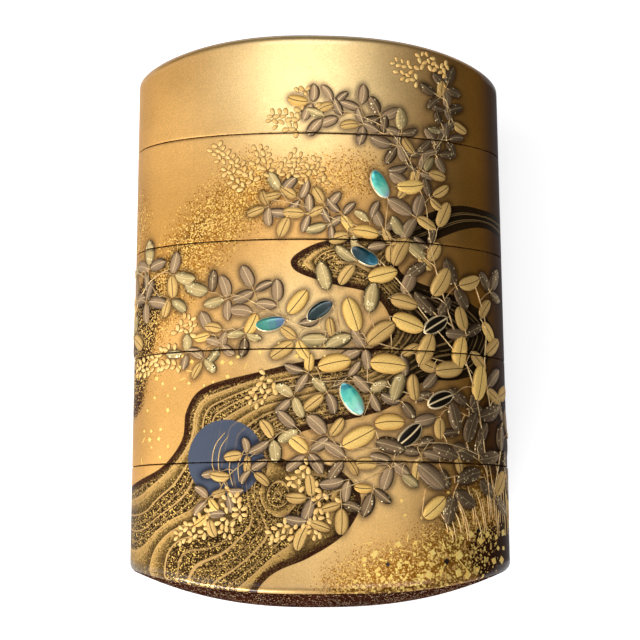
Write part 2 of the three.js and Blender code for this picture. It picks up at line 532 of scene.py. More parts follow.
def placeAccents(leaves, stalks):
    joints = [point for twig in twigs for point in curveThrough(twig[0], 4)]
    for look, heart, degrees, length in accents:
        turn = radians(degrees)
        foot = onward(heart, turn, -length / 2)
        bud = onward(foot, turn, -accent["footGap"])
        leaves.append({"look": look, "heart": heart, "turn": turn, "length": length,
                       "width": accent["slender"] * length, "foot": foot, "bud": bud})
        # its stalk runs to the nearest twig on the side that it grows from
        joint = min(joints, key=lambda spot: dist(spot, bud) + 0.4 * dist(spot, accent["root"]))
        if dist(joint, bud) < accent["stalkReach"]:
            middle = ((joint[0] + bud[0]) / 2, (joint[1] + bud[1]) / 2 + 0.5)
            stalks.append((curveThrough([joint, middle, bud], 4), "accentStalk"))


def drawTrefoil(draw, here, heading, twig):
    turn = heading + radians(draw.uniform(25, 80)) * twig["side"]
    bud = onward(here, turn, twig["reach"] * draw.uniform(0.7, 1.4))
    turn += draw.uniform(-0.5, 0.5)
    trio = []
    for lean, gap, scale in trefoil["leaves"]:
        aim = turn + lean * (trefoil["spread"] + draw.uniform(-0.2, 0.2))
        length = twig["leaf"] * scale * draw.uniform(0.88, 1.12)
        trio.append({"foot": onward(bud, aim, gap), "turn": aim, "length": length, "bud": bud})
    return trio


def growTwig(draw, leaves, stalks, line, leafLength, reach, step, limit=trefoil["crowding"]):
    curve = curveThrough(line, 12)
    stalks.append((curve, "twig"))
    travelled, due, side = 0.0, step * 0.6, 1
    for here, there in zip(curve, curve[1:]):
        travelled += float(np.linalg.norm(there - here))
        if travelled < due:
            continue
        due += step * draw.uniform(0.85, 1.15)
        side = -side
        heading = atan2(there[1] - here[1], there[0] - here[0])
        twig = {"side": side, "leaf": leafLength, "reach": reach}
        tries = [drawTrefoil(draw, here, heading, twig) for attempt in range(trefoil["tries"])]
        trio = min(tries, key=lambda trio: sum(crowding(leaf, leaves) for leaf in trio))
        kept = [leaf for leaf in trio if hasRoom(leaf, leaves, limit)]
        if not kept:
            continue
        for leaf in kept:
            leaf["heart"] = leafHeart(leaf)
            leaf["width"] = leaf["length"] * trefoil["slender"] * draw.uniform(0.88, 1.12)
        leaves.extend(kept)
        bud = kept[0]["bud"]
        middle = ((here[0] + bud[0]) / 2 + draw.uniform(-0.3, 0.3), (here[1] + bud[1]) / 2 + 0.25)
        stalks.append((curveThrough([here, middle, bud], 4), "stalk"))


def clamped(value):
    return max(0, min(1, value))


def chooseLook(heart, draw):
    s, y = heart
    right, left, low = clamped((s - 10) / 12), clamped((6 - s) / 8), clamped((-10 - y) / 8)
    high = clamped((y - 20) / 4) * clamped((s - 6) / 6)
    weights = {
        "polished": (0.12 + 0.1 * left) * (1 - high),
        "pale": (0.6 + 0.3 * left + 0.4 * right) * (1 - 0.8 * high),
        "misty": (0.25 + 0.25 * left - 0.1 * right) * (1 - 0.6 * high),
        "mauve": 1.0 + 1.2 * left - 0.5 * right,
        "dusky": 0.15 + 1.8 * right + 0.8 * low * (1 - left),
    }
    return draw.choices(list(weights), list(weights.values()))[0]


leafDraw = random.Random(7)
leaves, stalks = [], []
placeAccents(leaves, stalks)
for twig in twigs:
    growTwig(leafDraw, leaves, stalks, *twig)
for leaf in leaves:
    leaf["tone"] = leafDraw.random()
    leaf["layer"] = leafDraw.uniform(0, 0.1) if "look" not in leaf else 0.2
    leaf.setdefault("look", chooseLook(leaf["heart"], leafDraw))
print("leaves laid out", len(leaves))

# What the painting on each outside corner is made of


def shadeRoundLeaves(s, y):
    shade = np.zeros(s.shape)
    for leaf in leaves:
        near = np.hypot(s - leaf["heart"][0], y - leaf["heart"][1]) < leaf["length"]
        along, side = onLeaf(leaf, s[near], y[near])
        away = (np.hypot(along / (leaf["length"] / 2), side / (leaf["width"] / 2)) - 1) * leaf["width"] / 2
        shade[near] = np.maximum(shade[near], np.exp(-away.clip(0, None) / shadeReach))
    return shade * (shade > 0.04)


def paintFields(mesh):
    places = np.empty(len(mesh.vertices) * 3)
    mesh.vertices.foreach_get("co", places)
    x, y, z = places.reshape(-1, 3).T
    s, y = sheetArc(x, z), y / mm
    fromOuter, fromInner = roundDistance(s, y, outerBank), roundDistance(s, y, innerBank)
    fromBank = np.minimum(fromOuter, fromInner)
    wrapped = np.where(s < outerBank[0][0], s + fullArc, s)
    streamWidth = fromOuter + fromInner
    wander = np.array([noise.noise(Vector(spot) / (7 * mm)) for spot in places.reshape(-1, 3)])
    flow = stream["bands"] * fromOuter / streamWidth + stream["stray"] * wander
    for eddyArc, eddyY, strength, radius in stream["eddies"]:
        flow += strength * np.exp(-((s - eddyArc) ** 2 + (y - eddyY) ** 2) / radius ** 2)
    fields = {
        "bank": np.where(within(wrapped, y, streamOutline), fromBank, -fromBank),
        "flow": flow,
        "bandWidth": streamWidth / stream["bands"],
        "blackWater": smoothStep(7, 15, s) * smoothStep(62, 44, s),
        "moon": np.hypot(s - moon["centre"][0], y - moon["centre"][1]) - moon["radius"],
        "goldFlakes": driftMask(s, y, goldDrifts),
        "umber": driftMask(s, y, umberDrifts),
        "coarse": driftMask(s, y, coarseDrifts),
        "yellow": glowMask(s, y, yellowGlow),
        "brown": glowMask(s, y, brownGlow),
        "leafShade": shadeRoundLeaves(s, y),
        # painted shade: darker towards the right, and almost black round the right side
        "rightShade": smoothStep(12, 28, s - 3 * smoothStep(-8, -24, y)) * smoothStep(62, 46, s),
        "edge": smoothStep(24, 32, s + 1.6 + 2.6 * smoothStep(0, -16, y)) * smoothStep(58, 44, s),
        "rim": smoothStep(1.6, 1.1, (halfLength - crownFall(x, z - axisHeight)) / mm - np.abs(y)),
    }
    for name, values in fields.items():
        mesh.attributes.new(name, "FLOAT", "POINT").data.foreach_set("value", values.astype(np.float32))


for shell in shells.values():
    paintFields(shell.data)
print("painting laid out")

# Relief: leaves, stalks, buds and inlays are small bodies, made on the sheet and wrapped on.

relief = {}
spans = {}
cutBack = 0.04  # how far the relief stops short of a joint
for index, name in enumerate(pieceNames):
    low = seams[index] + body["seamLine"] / 2 if index < len(seams) else -halfLength
    high = seams[index - 1] - body["seamLine"] / 2 if index else halfLength
    spans[name] = (low / mm + cutBack, high / mm - cutBack)


def layDown(shape, kind):
    heights = [corner.co.y for corner in shape.verts]
    low, high = min(heights), max(heights)
    for name, (bottom, top) in spans.items():
        if high <= bottom or low >= top:
            continue
        part = shape.copy()
        for plane, upper in ((bottom, False), (top, True)):
            if low < plane < high:
                # a leaf that crosses a joint is cut through with the case
                bmesh.ops.bisect_plane(
                    part, geom=part.verts[:] + part.edges[:] + part.faces[:], dist=0.0001,
                    plane_co=(0, plane, 0), plane_no=(0, 1, 0), clear_outer=upper, clear_inner=not upper,
                )
                bmesh.ops.holes_fill(part, edges=[edge for edge in part.edges if edge.is_boundary])
        for corner in part.verts:
            corner.co = onBody(*corner.co)
        piece = newMesh("cut", part)
        if (name, kind) not in relief:
            relief[name, kind] = bmesh.new()
        relief[name, kind].from_mesh(piece)
        bpy.data.meshes.remove(piece)
    shape.free()


def newFigure():
    shape = bmesh.new()
    layers = shape.verts.layers
    return shape, layers.float_vector.new("leafPlace"), layers.float.new("leafTone")


def setDown(shape, s, y, turn, size, kind):
    moved = Matrix.Translation((s, y, 0)) @ Matrix.Rotation(turn, 4, "Z") @ Matrix.Diagonal((*size, 1))
    bmesh.ops.transform(shape, matrix=moved, verts=shape.verts)
    layDown(shape, kind)


def closeFigure(shape, weld, slot, kind):
    bmesh.ops.remove_doubles(shape, verts=shape.verts, dist=weld)
    bmesh.ops.holes_fill(shape, edges=[edge for edge in shape.edges if edge.is_boundary])
    for face in shape.faces:
        face.smooth = True
        face.material_index = slot
    layDown(shape, kind)


leafLooks = [
    "polished", "pale", "misty", "mauve", "dusky", "outlined",
    "shellMint", "shellTeal", "shellViolet", "shellDark",
]
leafForm = {
    "along": 10, "across": 6, "dome": 0.13, "flatDome": 0.08, "midrib": 0.03, "sunk": 0.06,
    "tip": 2.4,  # how late the sides turn in
    "fullness": 0.52,
    "bend": 0.5,  # at most half of this to either side
}


def makeLeaf(leaf):
    shape, placeLayer, toneLayer = newFigure()
    bmesh.ops.create_grid(shape, x_segments=leafForm["along"], y_segments=leafForm["across"], size=1)
    ahead, aside = cos(leaf["turn"]), sin(leaf["turn"])
    inlaid = leafLooks.index(leaf["look"]) >= leafLooks.index("outlined")
    dome = leafForm["flatDome"] if inlaid else leafForm["dome"]
    bend = (leaf["tone"] - 0.5) * leafForm["bend"]
    for corner in shape.verts:
        u, v = sin(corner.co.x * pi / 2), corner.co.y
        half = leaf["width"] / 2 * max(0.0, 1 - abs(u) ** leafForm["tip"]) ** leafForm["fullness"]
        along, side = u * leaf["length"] / 2, v * half
        height = dome * (1 - v * v) * max(0.0, 1 - u * u) ** 0.3 + leaf["layer"]
        if abs(v) < 0.1 and not inlaid:
            height -= leafForm["midrib"] * (1 - u * u)
        if abs(v) > 0.99:
            height = -leafForm["sunk"]
        corner[placeLayer] = (along, side, half - abs(side))
        corner[toneLayer] = leaf["tone"]
        side += bend * (1 - u * u)
        s = leaf["heart"][0] + along * ahead - side * aside
        y = leaf["heart"][1] + along * aside + side * ahead
        corner.co = (s, y, height)
    closeFigure(shape, 0.003, leafLooks.index(leaf["look"]), "leaves")


def makeStrip(line, kind, slot=0):
    width, lift = strips[kind]
    shape, placeLayer, toneLayer = newFigure()
    steps = len(line) - 1
    bmesh.ops.create_grid(shape, x_segments=steps, y_segments=4, size=1)
    for corner in shape.verts:
        travelled, v = (corner.co.x + 1) / 2, corner.co.y
        index = min(int(travelled * steps + 0.5), steps)
        run = np.array(line[min(index + 1, steps)]) - np.array(line[max(index - 1, 0)])
        run = run / max(float(np.linalg.norm(run)), 1e-9)
        # it tapers to both ends
        half = width / 2 * (0.45 + 0.55 * sin(pi * (0.12 + 0.8 * travelled)))
        s, y = line[index][0] - run[1] * v * half, line[index][1] + run[0] * v * half
        corner[placeLayer] = (travelled * 10, v * half, half * (1 - abs(v)))
        corner[toneLayer] = 0.5
        corner.co = (s, y, lift * (1 - v * v) - 0.04 * (abs(v) > 0.99))
    closeFigure(shape, 0.002, slot, "stalks")


for leaf in leaves:
    makeLeaf(leaf)
    makeStrip([leaf["bud"], onward(leaf["foot"], leaf["turn"], 0.5)], "leafFoot")
for stalk in stalks:
    makeStrip(*stalk)
print("leaves made")

# Sprays of buds: where each starts, the way it runs, its length, and how many buds
sprays = [
    ((-12, 18.5), 130, 9, 42), ((-10, 19.5), 95, 5.5, 28), ((-7, 19.5), 60, 5, 22),
    ((-2, 18.5), 95, 4.5, 26), ((-4, 28.5), 165, 5, 22), ((-3, 30.5), 105, 4, 16),
    ((15.5, 37.5), 160, 5, 18), ((16.5, 38), 95, 3.5, 16), ((18.5, 37.8), 50, 3, 10),
    ((-22.5, -4.5), 80, 3, 16), ((-23.5, -7.5), 190, 9, 60), ((-8.5, -11), 235, 5, 26),
    ((-14, -32), 110, 4, 14), ((-15, -31.5), 205, 9, 46), ((-14, -30), 255, 5, 22),
    ((0, -28.5), 250, 6.5, 26), ((-1, -33), 195, 8, 34), ((-2, -25.5), 215, 5, 12), ((56, 7), 85, 8, 30),
    ((50, -2), 110, 6, 20),
]
budForm = {
    "length": 1.35, "width": 0.94, "height": 0.18, "apart": 0.74,
    "node": 1.05,  # buds fan out from pairs of points this far apart
    "spread": 0.7, "leans": (-80, -40, 0, 40, 78), "fromEnd": 1.2,
}


def makeBud(s, y, turn, scale, tone):
    shape, placeLayer, toneLayer = newFigure()
    bmesh.ops.create_uvsphere(shape, u_segments=8, v_segments=5, radius=1)
    length, width = budForm["length"] * scale / 2, budForm["width"] * scale / 2
    for corner in shape.verts:
        corner[toneLayer] = tone
        corner[placeLayer] = (corner.co.x * length, corner.co.y * width, corner.co.z)
        # a bud is slender at its foot and full at its tip
        corner.co.y *= 0.84 + 0.26 * corner.co.x
    for face in shape.faces:
        face.smooth = True
    setDown(shape, s, y, turn, (length, width, budForm["height"]), "buds")


def underLeaf(s, y):
    for leaf in leaves:
        along, side = onLeaf(leaf, s, y)
        if hypot(along / (leaf["length"] / 2), side / (leaf["width"] / 2)) < 0.95:
            return True
    return False


def makeSpray(draw, budPlaces, start, degrees, length, count):
    heading = radians(degrees)
    budCount = 0
    nodes = max(2, round(length / budForm["node"]))
    for index in range(2 * nodes):
        travelled, side = (index // 2 + 0.5) / nodes, 2 * (index % 2) - 1
        # the spray is broad at its foot and narrows to its tip
        off = side * draw.uniform(0.5, 1.1) * (1.35 - 0.8 * travelled)
        onLine = onward(start, heading, length * travelled)
        node = (onLine[0] - off * sin(heading), onLine[1] + off * cos(heading))
        for lean in budForm["leans"]:
            turn = heading + side * radians(20) + radians(lean + draw.uniform(-10, 10))
            spot = onward(node, turn, budForm["spread"])
            crowded = any(dist(spot, other) < budForm["apart"] for other in budPlaces)
            if budCount >= count or crowded or underLeaf(*spot) or not insideSheet(spot, budForm["fromEnd"]):
                continue
            budCount += 1
            budPlaces.append(spot)
            makeBud(*spot, turn, draw.uniform(0.85, 1.1) * (1.05 - 0.15 * travelled), draw.random())


budDraw = random.Random(11)
budPlaces = []
for spray in sprays:
    makeSpray(budDraw, budPlaces, *spray)
print("buds made")

# Cut gold: squares and slips of leaf set into the ground one by one
inlays = {
    "height": 0.05,
    "apart": 1.3,  # they keep this far apart
    "fromEnd": 1,
    "slipWidth": 0.13,
    "black": 0.06,  # the share that is silver gone black
    "zones": [  # lowest corner, highest corner, how many squares, their size, how many slips
        ((-28, -14), (-9, -7), 40, 0.55, 12), ((-31, -24), (-25, -15), 22, 0.5, 4),
        ((-12, -8.5), (2, -5.5), 10, 0.5, 2), ((5, -41.5), (20, -36), 26, 0.85, 16),
        ((14, -41.5), (31, -34), 50, 1.0, 14), ((11, -36), (22, -28), 8, 0.5, 16),
        ((60, -40), (80, -34), 10, 0.9, 8),
    ],
}
inlayDraw = random.Random(5)


def makeInlay(s, y, length, width, turn, slot):
    shape = bmesh.new()
    bmesh.ops.create_cube(shape, size=1)
    for face in shape.faces:
        face.material_index = slot
    setDown(shape, s, y, turn, (length, width, 2 * inlays["height"]), "inlays")


def overStream(s, y):
    return within(np.array([float(s)]), np.array([float(y)]), streamOutline)[0]


inlayPlaces = []
for lowest, highest, squares, size, slips in inlays["zones"]:
    for index in range(squares + slips):
        s, y = (inlayDraw.uniform(lowest[k], highest[k]) for k in (0, 1))
        turn, black = inlayDraw.uniform(0, pi), inlayDraw.random() < inlays["black"]
        if overStream(s, y) or not insideSheet((s, y), inlays["fromEnd"]):
            continue
        if any(dist((s, y), other) < inlays["apart"] for other in inlayPlaces):
            continue
        inlayPlaces.append((s, y))
        if index < squares:
            side = size * inlayDraw.uniform(0.6, 1.15)
            makeInlay(s, y, side, side * inlayDraw.uniform(0.85, 1), turn, int(black))
        else:
            slip = 2 * size * inlayDraw.uniform(0.7, 1.2)
            makeInlay(s, y, slip, inlays["slipWidth"], turn, int(black))

# Grasses that stand on the lower right, and pale reeds over the moon
grass = {"count": 24, "from": 18.5, "to": 34, "foot": -34, "length": 10.5}
reeds = [
    [(-16.2, -27.5), (-17.6, -24.5), (-17.2, -21.5), (-15.6, -19.5)],
    [(-15.4, -27.8), (-16.6, -25), (-16.4, -22), (-15.2, -20.2)],
    [(-14.4, -27.6), (-15, -25), (-14.4, -22.4)], [(-13.4, -27), (-13.6, -24.6), (-12.6, -22)],
]
grassDraw = random.Random(3)
for index in range(grass["count"]):
    spread = (index + grassDraw.random()) / grass["count"]
    s = grass["from"] + spread * (grass["to"] - grass["from"])
    foot = grass["foot"] + 1.5 * spread + grassDraw.uniform(-2.2, 0.6)
    length = grass["length"] * (0.4 + 0.6 * spread) * grassDraw.uniform(0.5, 1.1)
    lean = -0.45 + 0.5 * spread + grassDraw.uniform(-0.12, 0.12)
    line = [(s + lean * length * t * t, foot + length * t) for t in (0, 0.25, 0.5, 0.75, 1)]
    makeStrip(line, "grass", 1)
for line in reeds:
    makeStrip(curveThrough(line, 4), "reed", 1)

reliefObjects = [newObject(name + "_" + kind, shape) for (name, kind), shape in relief.items()]
print("relief made", sum(len(made.data.polygons) for made in reliefObjects))

# Shader helpers. A colour is given without its alpha, or by its name in paint.


def put(tree, kind, inputs=None, **settings):
    made = tree.nodes.new("ShaderNode" + kind)
    for key, value in settings.items():
        setattr(made, key, value)
    for key, value in (inputs or {}).items():
        value = paint[value] if isinstance(value, str) else value
        if isinstance(value, bpy.types.NodeSocket):
            tree.links.new(value, made.inputs[key])
        else:
            made.inputs[key].default_value = (*value, 1) if isinstance(value, tuple) else value
    return made


def treeOf(*values):
    return next(value.id_data for value in values if isinstance(value, bpy.types.NodeSocket))


def reckon(operation, *values):
    return put(treeOf(*values), "Math", dict(enumerate(values)), operation=operation).outputs[0]


def times(*values):
    return reduce(lambda first, second: reckon("MULTIPLY", first, second), values)


def most(*values):
    return reduce(lambda first, second: reckon("MAXIMUM", first, second), values)


def plus(first, second):
    return reckon("ADD", first, second)


def minus(first, second):
    return reckon("SUBTRACT", first, second)


def mixColour(share, below, above, blend="MIX"):
    inputs = {0: share, 6: below, 7: above}
    tree = treeOf(share, below, above)
    return put(tree, "Mix", inputs, data_type="RGBA", blend_type=blend).outputs[2]


def mixValue(share, below, above):
    inputs = {0: share, 2: below, 3: above}
    return put(treeOf(share, below, above), "Mix", inputs, data_type="FLOAT").outputs[0]


def stepped(value, low, high, first=0.0, last=1.0):
    inputs = {0: value, 1: low, 2: high, 3: first, 4: last}
    return put(treeOf(value), "MapRange", inputs, interpolation_type="SMOOTHSTEP").outputs[0]


def shaded(colour, value):
    grey = put(treeOf(value), "CombineColor", {0: value, 1: value, 2: value}).outputs[0]
    return mixColour(1.0, colour, grey, "MULTIPLY")


def field(tree, name):
    return put(tree, "Attribute", attribute_name=name).outputs["Fac"]


def leafParts(tree):
    # how far along the leaf, how far to its side, and how far in from its edge, in mm
    where = put(tree, "Attribute", attribute_name="leafPlace").outputs["Vector"]
    return put(tree, "SeparateXYZ", {0: where}).outputs


def clouds(tree, scale, detail, **others):
    where = put(tree, "TexCoord").outputs["Object"]
    return put(tree, "TexNoise", {"Vector": where, "Scale": scale, "Detail": detail, **others}).outputs["Fac"]


def cells(tree, scale, randomness=1.0):
    # how far from the middle of its cell, and three random numbers for the cell
    where = put(tree, "TexCoord").outputs["Object"]
    made = put(tree, "TexVoronoi", {"Vector": where, "Scale": scale, "Randomness": randomness})
    return made.outputs["Distance"], put(tree, "SeparateColor", {0: made.outputs["Color"]}).outputs


def newGroup(name, inputs, outputs):
    group = bpy.data.node_groups.new(name, "ShaderNodeTree")
    for label, value in inputs.items():
        socket = group.interface.new_socket(label, in_out="INPUT", socket_type="NodeSocketFloat")
        socket.default_value = value
    for label in outputs:
        group.interface.new_socket(label, in_out="OUTPUT", socket_type="NodeSocketFloat")
    return group, group.nodes.new("NodeGroupInput").outputs, group.nodes.new("NodeGroupOutput").inputs


def useGroup(tree, group, **values):
    return put(tree, "Group", values, node_tree=group).outputs


def makeFlakes():
    # sprinkled flakes of metal: how many of the cells hold one, and how bright each one is
    inputs = {"Scale": 3000.0, "Amount": 0.5, "Size": 0.55}
    group, given, result = newGroup("sprinkled flakes", inputs, ("Mask", "Tone"))
    distance, picked = cells(group, given["Scale"])
    chosen = reckon("LESS_THAN", picked[0], given["Amount"])
    sharp = stepped(stepped(distance, given["Size"], 0.0), 0.0, 0.35)
    group.links.new(times(chosen, sharp), result["Mask"])
    group.links.new(picked[1], result["Tone"])
    return group


def makePowder():
    # gold powder: a fine grain, and broad clouds where it lies thinner
    group, given, result = newGroup("gold powder", {"Grain": 6000.0, "Cloud": 60.0}, ("Grain", "Cloud"))
    group.links.new(clouds(group, given["Grain"], 2.0), result["Grain"])
    group.links.new(clouds(group, given["Cloud"], 5.0, Roughness=0.6), result["Cloud"])
    return group


def makeWear():
    # a few dark pits, and rubbing that dulls the polish
    group, given, result = newGroup("wear", {"Pits": 0.02, "Scale": 260.0}, ("Pits", "Rub"))
    distance, picked = cells(group, given["Scale"])
    chosen = reckon("LESS_THAN", picked[2], given["Pits"])
    group.links.new(times(chosen, stepped(distance, 0.09, 0.02)), result["Pits"])
    group.links.new(stepped(clouds(group, 700.0, 6.0, Roughness=0.7), 0.5, 0.75), result["Rub"])
    return group


flakesGroup, powderGroup, wearGroup = makeFlakes(), makePowder(), makeWear()
sprinkle = {  # cells in a metre, and how much of its cell a flake fills
    "brown": (5800, 1.0), "bright": (5000, 0.92), "coarse": (2700, 0.9), "shadeGrain": (7600, 1.2),
    "dust": (6800, 0.95), "sparkle": (5600, 0.8), "leafSpeck": (3400, 0.6),
}


def flakes(tree, kind, amount):
    scale, size = sprinkle[kind]
    return useGroup(tree, flakesGroup, Scale=scale, Amount=amount, Size=size)


def powdered(tree, grain, cloud):
    return useGroup(tree, powderGroup, Grain=grain, Cloud=cloud)


def newMaterial(name, colour, metallic, roughness, bump=None, coat=0.0, specular=0.3):
    material = bpy.data.materials.new(name)
    material.use_nodes = True
    tree = material.node_tree
    tree.nodes.clear()
    given = {"Base Color": colour, "Metallic": metallic, "Roughness": roughness, "Coat Weight": coat}
    given = {socket: value(tree) if callable(value) else value for socket, value in given.items()}
    if bump:
        height, strength, distance = bump(tree)
        relieved = put(tree, "Bump", {"Height": height, "Strength": strength, "Distance": distance})
        given["Normal"] = relieved.outputs[0]
    given.update({"Coat Roughness": 0.12, "Specular IOR Level": specular})
    shader = put(tree, "BsdfPrincipled", given)
    put(tree, "OutputMaterial", {"Surface": shader.outputs[0]})
    return material


paint = {
    "orangeGold": (0.73, 0.40, 0.125),
    "yellowGold": (0.88, 0.64, 0.30),
    "brownGold": (0.56, 0.28, 0.055),
    # a brown for the thinner flakes, and for the painted shade towards the right
    "thinGoldAndShade": (0.46, 0.19, 0.012),
    "brownFlake": (0.17, 0.06, 0.008),
    "brightFlake": (1.0, 0.67, 0.17),
    "squareGold": (1.0, 0.72, 0.19),
    "driftBrown": (0.32, 0.12, 0.012),
    # umber, also used for the painted shade round the right side
    "umber": (0.034, 0.010, 0.0035),
    "bankLine": (0.036, 0.010, 0.004),
    "oliveGold": (0.55, 0.33, 0.10),
    "waterShade": (0.15, 0.085, 0.025),
    "waterDeep": (0.032, 0.016, 0.006),
    "waterDark": (0.014, 0.008, 0.003),
    "waveLine": (0.62, 0.38, 0.14),
    "moon": (0.082, 0.098, 0.138),
    "leafShade": (0.14, 0.12, 0.17),  # multiplies what is under it
    "shellRim": (0.92, 0.74, 0.44),
    "budSkirt": (0.13, 0.055, 0.012),
}


def goldLacquer(tree, powder):
    # yellower in patches; the one at the top of the front is a painted highlight
    yellow = stepped(plus(field(tree, "yellow"), times(powder["Cloud"], 0.25)), 0.1, 1.1)
    gold = mixColour(yellow, "orangeGold", "yellowGold")
    # towards the right the gold is painted browner and darker, and round the right side almost black: painted
    # shade on the side turned from the lights
    gold = mixColour(field(tree, "brown"), gold, "brownGold")
    gold = mixColour(times(field(tree, "rightShade"), 0.9), gold, "thinGoldAndShade")
    gold = mixColour(times(field(tree, "edge"), 0.92), gold, "umber")
    cloud = stepped(powder["Cloud"], 0.35, 0.68, 0.86, 1.06)
    return shaded(gold, times(cloud, stepped(powder["Grain"], 0.3, 0.7, 0.86, 1.1)))


def sprinkledDrifts(tree, ground, powder, masks):
    gold, coarseness = field(tree, "goldFlakes"), field(tree, "coarse")
    ground = mixColour(times(gold, 0.4), ground, "driftBrown")
    ground = mixColour(times(coarseness, 0.55), ground, "driftBrown")
    brown = flakes(tree, "brown", times(gold, 0.7))
    brownTint = mixColour(brown["Tone"], "brownFlake", "thinGoldAndShade")
    ground = mixColour(brown["Mask"], ground, brownTint)
    # umber blotches, and painted shade round the right side
    umber = stepped(plus(field(tree, "umber"), minus(powder["Grain"], 0.5)), 0.42, 0.62)
    ground = mixColour(umber, ground, "umber")
    # big flakes lie where the drift is coarse, and fewer small ones
    bright = flakes(tree, "bright", times(gold, reckon("MULTIPLY_ADD", coarseness, -0.35, 0.5)))
    brightTint = mixColour(bright["Tone"], "orangeGold", "brightFlake")
    ground = mixColour(bright["Mask"], ground, brightTint)
    coarse = flakes(tree, "coarse", times(coarseness, 0.42))
    coarseTint = mixColour(stepped(coarse["Tone"], 0.1, 0.6), "orangeGold", "squareGold")
    masks.update(umber=umber, tone=bright["Tone"], flake=most(bright["Mask"], coarse["Mask"]))
    return mixColour(coarse["Mask"], ground, coarseTint)


def waterLines(band, across, kind, bandWidth):
    # where the bands crowd together only every third one keeps its line
    third = reckon("LESS_THAN", reckon("FLOORED_MODULO", band, 3.0), 0.5)
    kept = most(third, stepped(bandWidth, 0.62, 0.95))
    nearer = reckon("MINIMUM", across, minus(1.0, across))
    lines = [times(stepped(times(nearer, bandWidth), 0.17, 0.08), kept)]
    # some of the wide bands have a finer line or two inside
    for at, first, last in ((0.3, 0.35, 0.3), (0.58, 0.55, 0.6)):
        away = times(reckon("ABSOLUTE", minus(across, at)), bandWidth)
        shown = times(stepped(kind, first, last, 0.0, 0.6), stepped(bandWidth, 0.8, 1.1))
        lines.append(times(stepped(away, 0.11, 0.05), shown))
    return most(*lines)


def bandedWater(tree, black, masks):
    flow, bandWidth = field(tree, "flow"), field(tree, "bandWidth")
    band = reckon("FLOOR", flow)
    across = minus(flow, band)
    kind = put(tree, "TexWhiteNoise", {"W": band}, noise_dimensions="1D").outputs["Value"]
    # about half of the bands are gold that darkens to one side in grains
    goldBand = mixColour(stepped(across, 0.0, 0.85), "oliveGold", "waterShade")
    grains = flakes(tree, "shadeGrain", reckon("MULTIPLY_ADD", across, 0.45, 0.08))["Mask"]
    goldBand = mixColour(times(grains, 0.7), goldBand, "waterDark")
    # and the rest are black under gold dust, each with its own thickness of it
    dusty = reckon("GREATER_THAN", kind, 0.55)
    dust = flakes(tree, "dust", reckon("MULTIPLY_ADD", kind, -0.5, 0.78))
    dustTint = mixColour(dust["Tone"], "waterShade", "oliveGold")
    dustBand = mixColour(dust["Mask"], "waterDeep", dustTint)
    water = mixColour(dusty, goldBand, dustBand)
    sparkle = times(flakes(tree, "sparkle", 0.1)["Mask"], mixValue(dusty, 0.4, 1.0))
    water = mixColour(sparkle, water, "brightFlake")
    water = mixColour(black, water, "waterDark")
    line = times(waterLines(band, across, kind, bandWidth), stepped(black, 0.0, 1.0, 0.85, 0.4))
    masks.update(line=line, grains=grains)
    return mixColour(line, water, "waveLine")


def makeGround():
    masks = {}

    def colour(tree):
        powder = powdered(tree, 5200.0, 45.0)
        bank, black = field(tree, "bank"), field(tree, "blackWater")
        ground = sprinkledDrifts(tree, goldLacquer(tree, powder), powder, masks)
        water = bandedWater(tree, black, masks)
        wet = stepped(bank, -0.05, 0.05)
        picture = mixColour(wet, ground, water)
        ragged = plus(bank, times(minus(powder["Grain"], 0.5), 1.7))
        bankMask = times(stepped(bank, -0.12, 0.0), stepped(ragged, 1.15, 0.75))
        bankTint = mixColour(times(masks["grains"], 0.5), "bankLine", "waterShade")
        bankTint = mixColour(times(black, 0.85), bankTint, "waterDark")
        picture = mixColour(bankMask, picture, bankTint)
        # the moon in the water, with a few waves over it
        moonMask = stepped(field(tree, "moon"), 0.05, -0.05)
        waves = times(masks["line"], stepped(powder["Cloud"], 0.45, 0.6, 0.0, 0.7))
        picture = mixColour(moonMask, picture, mixColour(waves, "moon", "waveLine"))
        # the painted shade that sets the leaves off
        shade = stepped(field(tree, "leafShade"), 0.0, 1.0, 0.0, 0.7)
        picture = mixColour(shade, picture, "leafShade", "MULTIPLY")
        worn = useGroup(tree, wearGroup, Pits=0.035, Scale=210.0)
        blackWater = times(wet, black, minus(1.0, masks["line"]))
        bareMoon = times(moonMask, minus(1.0, waves))
        dark = most(masks["umber"], bankMask, field(tree, "edge"), blackWater, bareMoon)
        masks.update(dark=dark, rub=worn["Rub"], grain=powder["Grain"])
        return mixColour(worn["Pits"], picture, "umber")

    def metallic(tree):
        return mixValue(masks["flake"], mixValue(masks["dark"], 0.9, 0.05), 0.35)

    def roughness(tree):
        flaky = reckon("MULTIPLY_ADD", masks["tone"], 0.25, 0.2)
        rough = mixValue(masks["flake"], mixValue(masks["dark"], 0.42, 0.3), flaky)
        return reckon("MULTIPLY_ADD", masks["rub"], 0.06, rough)

    def bump(tree):
        return plus(masks["grain"], times(masks["flake"], 1.5)), 0.25, 0.02 * mm

    def coat(tree):
        # the lacquer is thickest and glossiest where it wraps over the ends
        return times(field(tree, "rim"), 0.8)

    return newMaterial("gold ground", colour, metallic, roughness, bump, coat, specular=0.03)


def scaledColour(colour, scale):
    return tuple(part * scale for part in colour)


